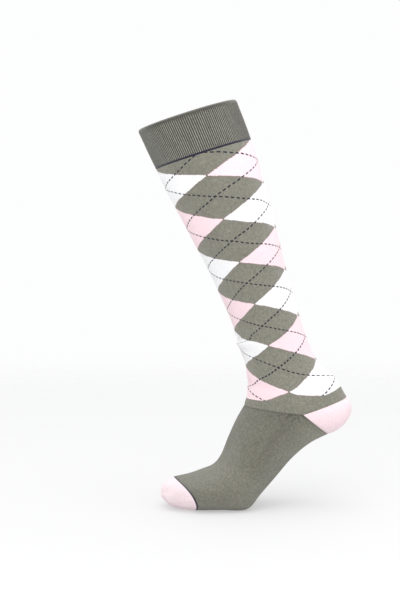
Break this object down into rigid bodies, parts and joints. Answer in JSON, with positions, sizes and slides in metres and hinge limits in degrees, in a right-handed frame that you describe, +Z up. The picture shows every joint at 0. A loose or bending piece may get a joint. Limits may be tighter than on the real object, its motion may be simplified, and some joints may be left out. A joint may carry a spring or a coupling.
{
  "type": "riding sock",
  "caption": "Knee-high knitted riding sock with an argyle leg, ribbed cuff, contrast heel and toe, held in the shape of a leg on tiptoe.",
  "frame": {"origin": "middle of the cuff's opening, where the sock is held on a leg", "axes": "+Z up, toes towards -X, outer side of this left sock towards -Y"},
  "size_m": [0.2473, 0.1149, 0.4666],
  "materials": {
    "grey_knit": "fine plain and ribbed knit, dull",
    "navy_knit": "fine plain knit, dull",
    "argyle_knit": "fine plain knit with grey, pink and white diamonds and navy dashed lines",
    "pink_knit": "fine plain knit, dull"
  },
  "bodies": {
    "root": {"cuff": "grey_knit", "cuff_stripe": "navy_knit", "leg": "argyle_knit", "foot": "grey_knit", "heel": "pink_knit", "toe_stripe": "navy_knit", "toe": "pink_knit"}
  },
  "joints": []
}
